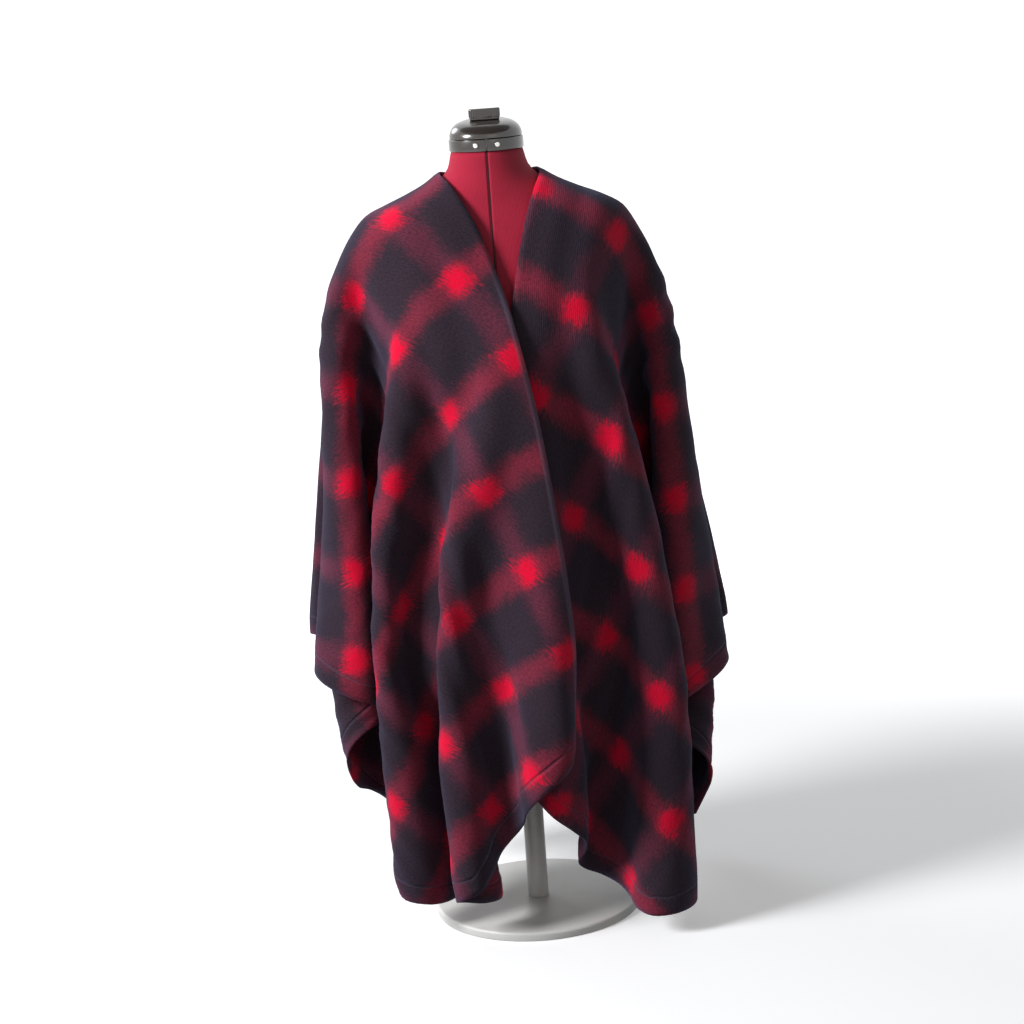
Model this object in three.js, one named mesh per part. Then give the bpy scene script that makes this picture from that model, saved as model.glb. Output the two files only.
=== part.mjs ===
// A checked wrap cape, cut as a back and two fronts, hanging on a limbless dress form with a stand.
// Millimetres, +Z up, the front faces -Y, the origin is the middle of the base plate's underside.
// The cape is draped here from its flat cut: a grid of points falls over the form and settles.
import * as THREE from "three";

// The flat cut. u runs across from the centre line, v runs from the shoulder line to the front hem.
const CUT = {
  halfWidth: 700, // centre line to side edge
  neckSlit: 90, // how far the front slit runs past the shoulder line, to the nape
  thickness: 2.4,
  seamGap: 0.3, // between the pieces along the shoulder line
};

// The hems: length of cloth below the shoulder line, at each distance out from the centre line.
// The front is cut lower towards its middle, and the outer corners are cut round.
const FRONT_HEM = [
  { out: 0, length: 790 },
  { out: 120, length: 862 },
  { out: 260, length: 938 },
  { out: 400, length: 935 },
  { out: 520, length: 865 },
  { out: 620, length: 760 },
  { out: 700, length: 620 },
];
const BACK_HEM = [
  { out: 0, length: 740 },
  { out: 400, length: 745 },
  { out: 560, length: 720 },
  { out: 640, length: 660 },
  { out: 700, length: 560 },
];

// Grid cells of the solids, across half the cape and down each stretch of its length.
const CELLS = { across: 24, back: 22, neck: 3, front: 27 };
const FINE = 2; // how many times finer the settled grid is

// The dress form: one row for each level, z up from the form's datum. Depths run from the middle plane.
// power is the roundness of the section: 2 is an ellipse, more is squarer.
const DATUM = -25; // the form's datum, above the floor
const FORM_SECTIONS = [
  { z: 352, halfWidth: 150, front: 104, back: 102, power: 2.3 },
  { z: 375, halfWidth: 160, front: 113, back: 109, power: 2.3 },
  { z: 450, halfWidth: 167, front: 118, back: 112, power: 2.3 },
  { z: 540, halfWidth: 148, front: 108, back: 97, power: 2.2 },
  { z: 630, halfWidth: 120, front: 96, back: 84, power: 2.1 },
  { z: 720, halfWidth: 134, front: 108, back: 90, power: 2.1 },
  { z: 800, halfWidth: 152, front: 128, back: 96, power: 2.2 },
  { z: 860, halfWidth: 160, front: 118, back: 98, power: 2.3 },
  { z: 910, halfWidth: 169, front: 96, back: 97, power: 2.4 },
  { z: 940, halfWidth: 175, front: 83, back: 92, power: 2.3 },
  { z: 960, halfWidth: 174, front: 76, back: 86, power: 2.2 },
  { z: 974, halfWidth: 160, front: 70, back: 80, power: 2.1 },
  { z: 988, halfWidth: 128, front: 64, back: 74, power: 2 },
  { z: 1004, halfWidth: 93, front: 59, back: 67, power: 1.9 },
  { z: 1020, halfWidth: 67, front: 54, back: 58, power: 1.9 },
  { z: 1036, halfWidth: 55, front: 51, back: 53, power: 2 },
  { z: 1050, halfWidth: 50, front: 49, back: 49, power: 2 },
  { z: 1058, halfWidth: 48, front: 48, back: 48, power: 2 },
];
const CLOTH_CLEARANCE = 8; // from the form to the middle of the cloth while it drapes
const RESTING_GAP = 0.3; // from the finished form to the cape at their nearest
const FACET_SAG = 0.7; // how far the form's flat faces lie inside its round sections there

// Where the neckline lies: on an ellipse round the neck.
const NECKLINE = { halfWidth: 70, depth: 64, z: 1028, napeRise: 6, pinned: 20 };

// The stand and the neck's fittings.
const SEAM_GROOVE = { halfWidth: 1.6, depth: 3 }; // down the form's centre front
const FORM_SIDES = 36;
const FORM_LEVEL = 28; // height of one band of the form's faces
const FIT = 0.3; // gap between pieces that touch
const BAND = { radius: 48.5, wall: 2.6, height: 15, slot: 2.4 };
const CAP = { radius: 45.6, rise: 21, lip: 1.5, flatness: 0.7, steps: 8 };
const KNOB = { length: 42, width: 14, height: 14, corner: 3, footLength: 16, footHeight: 3 };
const SCREW = { radius: 3, height: 2.2, offset: 13.5, up: 8 };
const BOARD = { inset: 6, thickness: 9 }; // closes the form's underside
const COLLAR = { radius: 27, height: 26 };
const POLE = { radius: 14 };
const BASE = { radius: 140, thickness: 12, edge: 3.5, edgeSteps: 3 };

// How each front edge was laid by hand: distance down the edge from the shoulder, and its x there.
const RIGHT_EDGE = [
  { down: 60, x: -42 },
  { down: 120, x: -5 },
  { down: 190, x: 18 },
  { down: 350, x: 42 },
  { down: 550, x: 64 },
  { down: 650, x: 70 },
  { down: 790, x: 60 },
];
const LEFT_EDGE = [
  { down: 60, x: 48 },
  { down: 120, x: 28 },
  { down: 190, x: 18 },
  { down: 300, x: 0 },
  { down: 450, x: -25 },
  { down: 600, x: -42 },
  { down: 790, x: -52 },
];

// The folds as arranged: each is a line of cloth from the shoulder tip to the cape's edge.
// turn is its direction in the flat cut, in degrees from the side edge's middle towards the front.
// x and y say where its lower end hangs, with x measured outwards from the middle.
const SHOULDER = { u: 122, x: 180, y: 5 };
const RIGHT_FOLDS = [
  { turn: 88, x: 22, y: -150 },
  { turn: 79, x: 90, y: -142 },
  { turn: 70, x: 75, y: -60 },
  { turn: 61, x: 172, y: -95 },
  { turn: 52, x: 140, y: -25 },
  { turn: 42, x: 215, y: -60 },
  { turn: 32, x: 175, y: 5 },
  { turn: 21, x: 248, y: -20 },
  { turn: 9, x: 190, y: 30 },
  { turn: -3, x: 238, y: 45 },
  { turn: -16, x: 175, y: 60 },
  { turn: -29, x: 210, y: 105 },
  { turn: -41, x: 140, y: 80 },
  { turn: -53, x: 165, y: 145 },
  { turn: -67, x: 100, y: 105 },
  { turn: -80, x: 100, y: 150 },
];
const LEFT_FOLDS = [
  { turn: 86, x: 65, y: -130 },
  { turn: 76, x: 130, y: -130 },
  { turn: 67, x: 185, y: -95 },
  { turn: 57, x: 130, y: -40 },
  { turn: 47, x: 205, y: -45 },
  { turn: 36, x: 165, y: 5 },
  { turn: 24, x: 225, y: -10 },
  { turn: 12, x: 175, y: 35 },
  { turn: -1, x: 222, y: 50 },
  { turn: -15, x: 165, y: 65 },
  { turn: -29, x: 200, y: 110 },
  { turn: -41, x: 135, y: 80 },
  { turn: -53, x: 160, y: 145 },
  { turn: -67, x: 95, y: 105 },
  { turn: -80, x: 98, y: 150 },
];
const FOLD_REACH = 0.045; // half width of the cloth that a fold guide holds, in radians

const IRONING = 3; // passes of smoothing over the settled cloth

// The fall of the cloth: two levels, each a number of small time steps.
const FALL = {
  step: 0.002, // seconds
  gravity: 3500,
  passes: 2, // passes over the links at each step
  bend: 0.006, // how stiffly the cloth resists bending
  layerGap: 1.3, // between layers of cloth, in grid cells
  shear: 0.4, // how stiffly it resists being pulled out of square
  grip: 0.5, // how strongly the form's jersey holds the cape
  lapDelay: 600, // steps for which the right front waits, so that it lands on the left one
  edgePull: 0.12,
  foldPull: 0.0012,
  foldsFrom: 1200,
  coarseSteps: 1500,
  fineSteps: 900,
};

const smooth = (from, to, x) => {
  const t = Math.min(1, Math.max(0, (x - from) / (to - from)));
  return t * t * (3 - 2 * t);
};

// Reads a table: the value of one column where another one is at, on straight lines between the rows.
function along(table, at, value, where) {
  const k = table.findIndex((row) => row[at] >= where);
  if (k <= 0) return table[k < 0 ? table.length - 1 : 0][value];
  const [a, b] = [table[k - 1], table[k]];
  return a[value] + ((b[value] - a[value]) * (where - a[at])) / (b[at] - a[at]);
}

// The form's section at a height, with a smooth curve through the rows of the table.
function formSection(z) {
  const rows = FORM_SECTIONS;
  const last = rows.length - 1;
  let k = 0;
  while (k < last - 1 && z > rows[k + 1].z) k += 1;
  const [before, a] = [rows[Math.max(0, k - 1)], rows[k]];
  const [b, after] = [rows[k + 1], rows[Math.min(last, k + 2)]];
  const span = b.z - a.z;
  const t = Math.min(1, Math.max(0, (z - a.z) / span));
  const blend = (name) => {
    const slopeA = ((b[name] - before[name]) / (b.z - before.z)) * span;
    const slopeB = ((after[name] - a[name]) / (after.z - a.z)) * span;
    const [t2, t3] = [t * t, t * t * t];
    const fromA = (2 * t3 - 3 * t2 + 1) * a[name] + (t3 - 2 * t2 + t) * slopeA;
    const fromB = (3 * t2 - 2 * t3) * b[name] + (t3 - t2) * slopeB;
    return fromA + fromB;
  };
  return {
    halfWidth: blend("halfWidth"),
    front: blend("front"),
    back: blend("back"),
    power: blend("power"),
  };
}

const FIELD_STEP = 2;
const FIELD_TOP = 1120;
const fieldRows = [];
for (let z = FORM_SECTIONS[0].z; z <= FIELD_TOP; z += FIELD_STEP) fieldRows.push(formSection(z));

// Under 0 inside the form, over 0 outside, and about the share of the radius in between.
function formField(x, y, z) {
  const at = Math.min(fieldRows.length - 1.001, Math.max(0, (z - FORM_SECTIONS[0].z) / FIELD_STEP));
  const k = Math.floor(at);
  const f = at - k;
  const [a, b] = [fieldRows[k], fieldRows[k + 1]];
  const halfWidth = a.halfWidth + (b.halfWidth - a.halfWidth) * f;
  const depth = y < 0 ? a.front + (b.front - a.front) * f : a.back + (b.back - a.back) * f;
  const power = a.power + (b.power - a.power) * f;
  return (Math.abs(x / halfWidth) ** power + Math.abs(y / depth) ** power) ** (1 / power) - 1;
}

// The field's gradient, and from it the distance to the form.
function formSlope(x, y, z) {
  const e = 0.5;
  return [
    (formField(x + e, y, z) - formField(x - e, y, z)) / (2 * e),
    (formField(x, y + e, z) - formField(x, y - e, z)) / (2 * e),
    (formField(x, y, z + e) - formField(x, y, z - e)) / (2 * e),
  ];
}
const formDistance = (x, y, z) => formField(x, y, z) / (Math.hypot(...formSlope(x, y, z)) + 1e-9);

// The cut as a grid. Columns run from the right side edge to the left one, and rows from the back hem
// to the front one. The middle column is doubled, and its two halves are one down to the slit's end.
function makeGrid(finer) {
  const cells = CELLS.across * finer;
  const cell = CUT.halfWidth / cells;
  const slitRow = CELLS.back * finer;
  const shoulderRow = slitRow + CELLS.neck * finer;
  const rows = shoulderRow + CELLS.front * finer + 1;
  const columns = 2 * cells + 2;
  const columnU = (c) => (c <= cells ? c - cells : c - cells - 1) * cell;
  const flatV = (c, r) => {
    const out = Math.abs(columnU(c));
    const [front, back] = [FRONT_HEM, BACK_HEM].map((hem) => along(hem, "out", "length", out));
    if (r >= shoulderRow) return ((r - shoulderRow) * front) / (rows - 1 - shoulderRow);
    if (r > slitRow) return (-(shoulderRow - r) * CUT.neckSlit) / (shoulderRow - slitRow);
    return -CUT.neckSlit - ((slitRow - r) * (back - CUT.neckSlit)) / slitRow;
  };
  const index = [];
  let count = 0;
  for (let r = 0; r < rows; r += 1) {
    for (let c = 0; c < columns; c += 1) {
      const joined = c === cells + 1 && r <= slitRow;
      index.push(joined ? index[r * columns + cells] : count);
      if (!joined) count += 1;
    }
  }
  const id = (c, r) => index[r * columns + c];
  return { cells, cell, rows, columns, slitRow, shoulderRow, flatV, columnU, id, count };
}

const eachPoint = (grid, visit) => {
  for (let r = 0; r < grid.rows; r += 1) {
    for (let c = 0; c < grid.columns; c += 1) {
      if (c === grid.cells + 1 && r <= grid.slitRow) continue;
      visit(c, r, grid.id(c, r), grid.columnU(c), grid.flatV(c, r), c <= grid.cells ? -1 : 1);
    }
  }
};

// The column d steps to the right of c, or -1 where the slit or the edge is in the way.
function columnBeside(grid, c, r, d) {
  let at = c;
  for (let s = 0; s < d; s += 1) {
    if (at === grid.cells) {
      if (r > grid.slitRow) return -1;
      at = grid.cells + 2;
    } else at += 1;
    if (at >= grid.columns) return -1;
  }
  return at;
}

// The threads that hold the grid together: [columns, rows, kind] to the other end of each.
const LINK_KINDS = [
  [1, 0, "thread"], [0, 1, "thread"], [1, 1, "bias"], [1, -1, "bias"],
  [2, 0, "bend"], [0, 2, "bend"], [4, 0, "bend"], [0, 4, "bend"],
];
function makeLinks(grid) {
  const links = [];
  for (const [dc, dr, kind] of LINK_KINDS) {
    for (let r = Math.max(0, -dr); r < grid.rows - Math.max(0, dr); r += 1) {
      for (let c = 0; c < grid.columns; c += 1) {
        const joined = c === grid.cells + 1 && (dc ? r : r + dr) <= grid.slitRow;
        const c2 = columnBeside(grid, c, Math.max(r, r + dr), dc);
        if (joined || c2 < 0) continue;
        const length = Math.hypot(dc * grid.cell, grid.flatV(c2, r + dr) - grid.flatV(c, r));
        links.push({ i: grid.id(c, r), j: grid.id(c2, r + dr), length, kind });
      }
    }
  }
  return links;
}

// The flat cape just above the shoulders, with its slit opened round the neck.
function layFlat(grid) {
  const DROP = 30;
  const OPEN_OVER = 170; // length of cloth behind the slit in which the opening fades
  const points = new Float64Array(3 * grid.count);
  eachPoint(grid, (c, r, i, u, v, side) => {
    const opened = NECKLINE.depth * smooth(-CUT.neckSlit - OPEN_OVER, -CUT.neckSlit + 70, v);
    const joined = r <= grid.slitRow ? Math.min(1, Math.abs(u) / NECKLINE.depth) : 1;
    points[3 * i] = u + side * opened * joined;
    points[3 * i + 1] = -v;
    points[3 * i + 2] = NECKLINE.z + DROP + 10 * Math.sin(u * 0.031 + v * 0.017 + 1.3);
  });
  return points;
}

// The fine grid's points halfway between the coarse grid's.
function refine(coarse, points, fine) {
  const finer = new Float64Array(3 * fine.count);
  eachPoint(fine, (c, r, i, u, v, side) => {
    const across = Math.abs(u) / coarse.cell;
    const down = (r * (coarse.rows - 1)) / (fine.rows - 1);
    const a = Math.min(coarse.cells - 1, Math.floor(across));
    const b = Math.min(coarse.rows - 2, Math.floor(down));
    const [fa, fb] = [across - a, down - b];
    const corners = [
      [0, 0, (1 - fa) * (1 - fb)],
      [1, 0, fa * (1 - fb)],
      [0, 1, (1 - fa) * fb],
      [1, 1, fa * fb],
    ];
    for (const [da, db, share] of corners) {
      const column = side < 0 ? coarse.cells - a - da : coarse.cells + 1 + a + da;
      const from = 3 * coarse.id(column, b + db);
      for (let k = 0; k < 3; k += 1) finer[3 * i + k] += share * points[from + k];
    }
  });
  return finer;
}

// What holds the cape where it lies: the neckline's points, the laid front edges and the arranged folds.
function makeHolds(grid) {
  const neckline = [];
  const edges = [];
  const folds = [];
  eachPoint(grid, (c, r, i, u, v, side) => {
    if (u === 0 && r >= grid.slitRow && v < NECKLINE.pinned) {
      const turn = (2 * (v + CUT.neckSlit)) / (NECKLINE.halfWidth + NECKLINE.depth);
      const [x, y] = [side * NECKLINE.halfWidth * Math.sin(turn), NECKLINE.depth * Math.cos(turn)];
      const held = 0.02 + smooth(-0.7 * CUT.neckSlit, 0, v);
      neckline.push([i, 0.3 * held, x, y, NECKLINE.z + NECKLINE.napeRise * Math.cos(turn)]);
    }
    if (u === 0 && v > 55) edges.push([i, along(side < 0 ? RIGHT_EDGE : LEFT_EDGE, "down", "x", v)]);
    const [across, down] = [Math.abs(u) - SHOULDER.u, v];
    const turn = Math.atan2(down, across);
    const hem = along(down > 0 ? FRONT_HEM : BACK_HEM, "out", "length", Math.abs(u));
    const toSide = Math.cos(turn) > 0.01 ? (CUT.halfWidth - SHOULDER.u) / Math.cos(turn) : Infinity;
    const toHem = hem / Math.max(0.01, Math.abs(Math.sin(turn)));
    const share = Math.min(1, Math.hypot(across, down) / Math.min(toSide, toHem));
    if (share < 0.25) return;
    for (const fold of side < 0 ? RIGHT_FOLDS : LEFT_FOLDS) {
      const off = Math.abs(turn - (fold.turn * Math.PI) / 180);
      if (off > FOLD_REACH) continue;
      const x = side * (SHOULDER.x + (fold.x - SHOULDER.x) * share);
      folds.push([i, x, SHOULDER.y + (fold.y - SHOULDER.y) * share, share]);
    }
  });
  return { neckline, edges, folds };
}

// Pushes apart the points of layers that come nearer than the gap.
function makeLayers(grid) {
  const gap = FALL.layerGap * grid.cell;
  const BUCKETS = 65536;
  const head = new Int32Array(BUCKETS);
  const next = new Int32Array(grid.count);
  const flat = new Float64Array(2 * grid.count);
  eachPoint(grid, (c, r, i, u, v) => flat.set([u, v], 2 * i));
  const bucket = (a, b, c) => ((a * 73856093) ^ (b * 19349663) ^ (c * 83492791)) & (BUCKETS - 1);
  const at = (p, i, k) => Math.floor(p[3 * i + k] / gap);
  const near = (1.5 * grid.cell) ** 2;
  return (p) => {
    head.fill(-1);
    for (let i = 0; i < grid.count; i += 1) {
      const h = bucket(at(p, i, 0), at(p, i, 1), at(p, i, 2));
      next[i] = head[h];
      head[h] = i;
    }
    for (let i = 0; i < grid.count; i += 1) {
      const [gx, gy, gz] = [at(p, i, 0), at(p, i, 1), at(p, i, 2)];
      for (let n = 0; n < 27; n += 1) {
        const h = bucket(gx + (n % 3) - 1, gy + (Math.floor(n / 3) % 3) - 1, gz + Math.floor(n / 9) - 1);
        for (let j = head[h]; j >= 0; j = next[j]) {
          if (j <= i) continue;
          const dx = p[3 * i] - p[3 * j];
          const dy = p[3 * i + 1] - p[3 * j + 1];
          const dz = p[3 * i + 2] - p[3 * j + 2];
          const d = Math.sqrt(dx * dx + dy * dy + dz * dz);
          if (d >= gap || d < 1e-6) continue;
          const [du, dv] = [flat[2 * i] - flat[2 * j], flat[2 * i + 1] - flat[2 * j + 1]];
          if (du * du + dv * dv < near && (du !== 0 || dv !== 0)) continue;
          const share = (0.5 * (gap - d)) / d;
          p[3 * i] += dx * share;
          p[3 * i + 1] += dy * share;
          p[3 * i + 2] += dz * share;
          p[3 * j] -= dx * share;
          p[3 * j + 1] -= dy * share;
          p[3 * j + 2] -= dz * share;
        }
      }
    }
  };
}

// Keeps the points clear of the form, and lets its jersey hold what lies on it.
function restOnForm(p, before) {
  for (let q = 0; q < p.length; q += 3) {
    const [x, y, z] = [p[q], p[q + 1], p[q + 2]];
    if (z < FORM_SECTIONS[0].z - 10 || z > FIELD_TOP) continue;
    const f = formField(x, y, z);
    if (f > 0.3) continue;
    const g = formSlope(x, y, z);
    const size = Math.hypot(...g) + 1e-9;
    const away = f / size;
    if (away >= CLOTH_CLEARANCE) continue;
    const push = Math.min(CLOTH_CLEARANCE - away, 6);
    const move = [0, 1, 2].map((k) => p[q + k] + (g[k] / size) * push - before[q + k]);
    const out = move.reduce((sum, m, k) => sum + (m * g[k]) / size, 0);
    for (let k = 0; k < 3; k += 1) {
      const slide = move[k] - (out * g[k]) / size;
      p[q + k] = before[q + k] + move[k] - slide * FALL.grip;
    }
  }
}

// Lets the cloth fall and settle.
function settle(grid, points, steps, lapDelay) {
  const p = points;
  const before = p.slice();
  const speed = new Float64Array(p.length);
  const links = makeLinks(grid);
  const from = Int32Array.from(links, (l) => 3 * l.i);
  const to = Int32Array.from(links, (l) => 3 * l.j);
  const length = Float64Array.from(links, (l) => l.length);
  const stiffness = { thread: 0.5, bias: 0.5 * FALL.shear, bend: 0.5 * FALL.bend };
  const strength = Float64Array.from(links, (l) => stiffness[l.kind]);
  const waits = new Uint8Array(grid.count);
  eachPoint(grid, (c, r, i, u, v, side) => {
    waits[i] = side < 0 && v > 40 ? 1 : 0;
  });
  const holds = makeHolds(grid);
  const partLayers = makeLayers(grid);
  for (let s = 0; s < steps; s += 1) {
    const keep = s > 0.75 * steps ? 0.96 : 0.993;
    for (let i = 0; i < grid.count; i += 1) {
      const waiting = waits[i] && s < lapDelay;
      for (let q = 3 * i; q < 3 * i + 3; q += 1) {
        speed[q] *= waiting ? 0.9 * keep : keep;
        if (q === 3 * i + 2 && !waiting) speed[q] -= FALL.gravity * FALL.step;
        before[q] = p[q];
        p[q] += speed[q] * FALL.step;
      }
    }
    for (let pass = 0; pass < FALL.passes; pass += 1) {
      for (let k = 0; k < from.length; k += 1) {
        const [i, j] = [from[k], to[k]];
        const dx = p[i] - p[j];
        const dy = p[i + 1] - p[j + 1];
        const dz = p[i + 2] - p[j + 2];
        const d = Math.sqrt(dx * dx + dy * dy + dz * dz) + 1e-9;
        const f = (strength[k] * (length[k] - d)) / d;
        p[i] += dx * f;
        p[i + 1] += dy * f;
        p[i + 2] += dz * f;
        p[j] -= dx * f;
        p[j + 1] -= dy * f;
        p[j + 2] -= dz * f;
      }
    }
    if (s % 3 === 0) partLayers(p);
    restOnForm(p, before);
    if (s > lapDelay / 2) {
      for (const [i, x] of holds.edges) p[3 * i] += (x - p[3 * i]) * FALL.edgePull;
    }
    if (s > FALL.foldsFrom || !lapDelay) {
      for (const [i, x, y, share] of holds.folds) {
        p[3 * i] += (x - p[3 * i]) * FALL.foldPull * share;
        p[3 * i + 1] += (y - p[3 * i + 1]) * FALL.foldPull * share;
      }
    }
    const started = Math.min(1, s / 300 + (lapDelay ? 0 : 1));
    for (const [i, pull, ...spot] of holds.neckline) {
      for (let k = 0; k < 3; k += 1) p[3 * i + k] += (spot[k] - p[3 * i + k]) * pull * started;
    }
    for (let q = 0; q < p.length; q += 1) speed[q] = (p[q] - before[q]) / FALL.step;
  }
  return p;
}

// Smooths the settled grid a little: inner points towards their four neighbours, and edge points
// along the edge.
function iron(grid, points, passes) {
  for (let pass = 0; pass < passes; pass += 1) {
    const from = points.slice();
    eachPoint(grid, (c, r, i) => {
      const left = c === grid.cells + 1 ? -1 : c - 1;
      const right = columnBeside(grid, c, r, 1);
      const across = left >= 0 && right >= 0 ? [grid.id(left, r), grid.id(right, r)] : [];
      const down = r > 0 && r < grid.rows - 1 ? [grid.id(c, r - 1), grid.id(c, r + 1)] : [];
      const inner = across.length && down.length;
      const around = inner ? [...across, ...down] : across.length ? across : down;
      if (!around.length) return;
      for (let k = 0; k < 3; k += 1) {
        const mean = around.reduce((sum, j) => sum + from[3 * j + k], 0) / around.length;
        points[3 * i + k] += 0.4 * (mean - from[3 * i + k]);
      }
    });
  }
}

// The settled cape, read at the solids' grid.
function drape() {
  const coarse = makeGrid(1);
  const fine = makeGrid(FINE);
  const fallen = settle(coarse, layFlat(coarse), FALL.coarseSteps, FALL.lapDelay);
  const settled = settle(fine, refine(coarse, fallen, fine), FALL.fineSteps, 0);
  iron(fine, settled, IRONING);
  const points = new Float64Array(3 * coarse.count);
  eachPoint(coarse, (c, r, i, u, v, side) => {
    const column = side < 0 ? c * FINE : fine.cells + 1 + (c - coarse.cells - 1) * FINE;
    const from = 3 * fine.id(column, r * FINE);
    for (let k = 0; k < 3; k += 1) points[3 * i + k] = settled[from + k];
  });
  return { grid: coarse, points };
}

// Each point's way out of the cloth: square to the two directions of the weave.
function outwards(grid, points) {
  const normals = new Float64Array(3 * grid.count);
  const add = (a, b, c) => {
    const e = [0, 1, 2].map((k) => points[3 * b + k] - points[3 * a + k]);
    const f = [0, 1, 2].map((k) => points[3 * c + k] - points[3 * a + k]);
    const n = [e[1] * f[2] - e[2] * f[1], e[2] * f[0] - e[0] * f[2], e[0] * f[1] - e[1] * f[0]];
    for (const i of [a, b, c]) for (let k = 0; k < 3; k += 1) normals[3 * i + k] += n[k];
  };
  for (let r = 0; r < grid.rows - 1; r += 1) {
    for (let c = 0; c < grid.columns - 1; c += 1) {
      if (c === grid.cells) continue;
      add(grid.id(c, r), grid.id(c, r + 1), grid.id(c + 1, r));
      add(grid.id(c + 1, r), grid.id(c, r + 1), grid.id(c + 1, r + 1));
    }
  }
  for (let q = 0; q < normals.length; q += 3) {
    const size = Math.hypot(normals[q], normals[q + 1], normals[q + 2]);
    for (let k = 0; k < 3; k += 1) normals[q + k] /= size;
  }
  return normals;
}

// One piece of the cape as a closed wall: an outer and an inner face joined by a rim.
// columns and rows are the piece's range in the grid, and seamRow is the row that it is sewn along.
function clothPiece(grid, points, normals, columns, rows, seamRow) {
  const spots = new Map();
  const positions = [];
  const vertex = (c, r, side) => {
    const i = grid.id(c, r);
    const key = 2 * i + (side > 0 ? 1 : 0);
    if (!spots.has(key)) {
      spots.set(key, spots.size);
      const inwards = r === seamRow ? (r === rows[0] ? r + 1 : r - 1) : r;
      const toward = [0, 1, 2].map((k) => points[3 * grid.id(c, inwards) + k] - points[3 * i + k]);
      const trim = r === seamRow ? CUT.seamGap / 2 / Math.hypot(...toward) : 0;
      for (let k = 0; k < 3; k += 1) {
        const wall = (normals[3 * i + k] * side * CUT.thickness) / 2;
        positions.push(points[3 * i + k] + toward[k] * trim + wall);
      }
    }
    return spots.get(key);
  };
  const faces = [];
  const edges = new Map();
  const add = (...corners) => {
    faces.push(...corners.map(([c, r]) => vertex(c, r, 1)));
    faces.push(...corners.reverse().map(([c, r]) => vertex(c, r, -1)));
  };
  for (let r = rows[0]; r < rows[1]; r += 1) {
    for (let c = columns[0]; c < columns[1]; c += 1) {
      if (c === grid.cells) continue;
      add([c, r], [c, r + 1], [c + 1, r]);
      add([c + 1, r], [c, r + 1], [c + 1, r + 1]);
      const corners = [[c, r], [c, r + 1], [c + 1, r + 1], [c + 1, r]];
      corners.forEach((from, k) => {
        const to = corners[(k + 1) % 4];
        const [a, b] = [grid.id(...from), grid.id(...to)];
        if (!edges.delete(`${b} ${a}`)) edges.set(`${a} ${b}`, [from, to]);
      });
    }
  }
  for (const [from, to] of edges.values()) {
    const [a, b, c, d] = [vertex(...from, 1), vertex(...to, 1), vertex(...from, -1), vertex(...to, -1)];
    faces.push(b, a, c, b, c, d);
  }
  return closed(positions, faces);
}

function closed(positions, faces) {
  const geometry = new THREE.BufferGeometry();
  geometry.setAttribute("position", new THREE.Float32BufferAttribute(positions, 3));
  geometry.setIndex(faces);
  geometry.computeVertexNormals();
  return geometry;
}

// How far the form can grow before it comes within the resting gap of the cape.
function roomToGrow(grid, points, normals) {
  const STEPS = 5;
  let least = Infinity;
  const inner = (c, r) => {
    const q = 3 * grid.id(c, r);
    return [0, 1, 2].map((k) => points[q + k] - (normals[q + k] * CUT.thickness) / 2);
  };
  for (let r = 0; r < grid.rows - 1; r += 1) {
    for (let c = 0; c < grid.columns - 1; c += 1) {
      if (c === grid.cells) continue;
      const [a, b, d, e] = [inner(c, r), inner(c, r + 1), inner(c + 1, r), inner(c + 1, r + 1)];
      for (const [p, q, w] of [[a, b, d], [e, d, b]]) {
        for (let m = 0; m <= STEPS; m += 1) {
          for (let n = 0; n <= STEPS - m; n += 1) {
            const spot = [0, 1, 2].map((k) => p[k] + ((q[k] - p[k]) * m + (w[k] - p[k]) * n) / STEPS);
            if (spot[2] > FORM_SECTIONS[0].z - 20) least = Math.min(least, formDistance(...spot));
          }
        }
      }
    }
  }
  return least + FACET_SAG - RESTING_GAP;
}

// A section's outline, grown all round. It starts beside the front and has no point on the front itself.
function sectionOutline(section, grow) {
  const ring = [];
  for (let k = 0; k < FORM_SIDES; k += 1) {
    const turn = (2 * Math.PI * (k + 0.5)) / FORM_SIDES - Math.PI / 2;
    const [cos, sin] = [Math.cos(turn), Math.sin(turn)];
    const depth = (sin < 0 ? section.front : section.back) + grow;
    const [x, y] = [Math.abs(cos) / (section.halfWidth + grow), Math.abs(sin) / depth];
    const size = (x ** section.power + y ** section.power) ** (-1 / section.power);
    ring.push([size * cos, size * sin]);
  }
  return ring;
}

// The form's body: bands between sections, with the seam's groove down its centre front.
function formGeometry(grow) {
  const outline = (z) => {
    const section = formSection(z);
    const depth = section.front + grow;
    const half = SEAM_GROOVE.halfWidth;
    const groove = [[-half, -depth], [0, -depth + SEAM_GROOVE.depth], [half, -depth]];
    return [...sectionOutline(section, grow), ...groove].map(([x, y]) => [x, y, z]);
  };
  const [bottom, top] = [FORM_SECTIONS[0].z, FORM_SECTIONS[FORM_SECTIONS.length - 1].z - FIT];
  const levels = Math.round((top - bottom) / FORM_LEVEL);
  const rings = [];
  for (let k = 0; k <= levels; k += 1) rings.push(outline(bottom + ((top - bottom) * k) / levels));
  const sides = rings[0].length;
  const positions = [...rings.flat(2), 0, 0, bottom, 0, 0, top];
  const faces = [];
  for (let s = 0; s < sides; s += 1) {
    const t = (s + 1) % sides;
    for (let k = 0; k < levels; k += 1) {
      const [a, b, c, d] = [k * sides + s, k * sides + t, (k + 1) * sides + t, (k + 1) * sides + s];
      faces.push(a, b, c, a, c, d);
    }
    faces.push(t, s, rings.length * sides);
    faces.push(levels * sides + s, levels * sides + t, rings.length * sides + 1);
  }
  return closed(positions, faces);
}

const turned = (profile, sides) => {
  const geometry = new THREE.LatheGeometry(profile.map(([r, z]) => new THREE.Vector2(r, z)), sides);
  return geometry.rotateX(Math.PI / 2);
};

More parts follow.
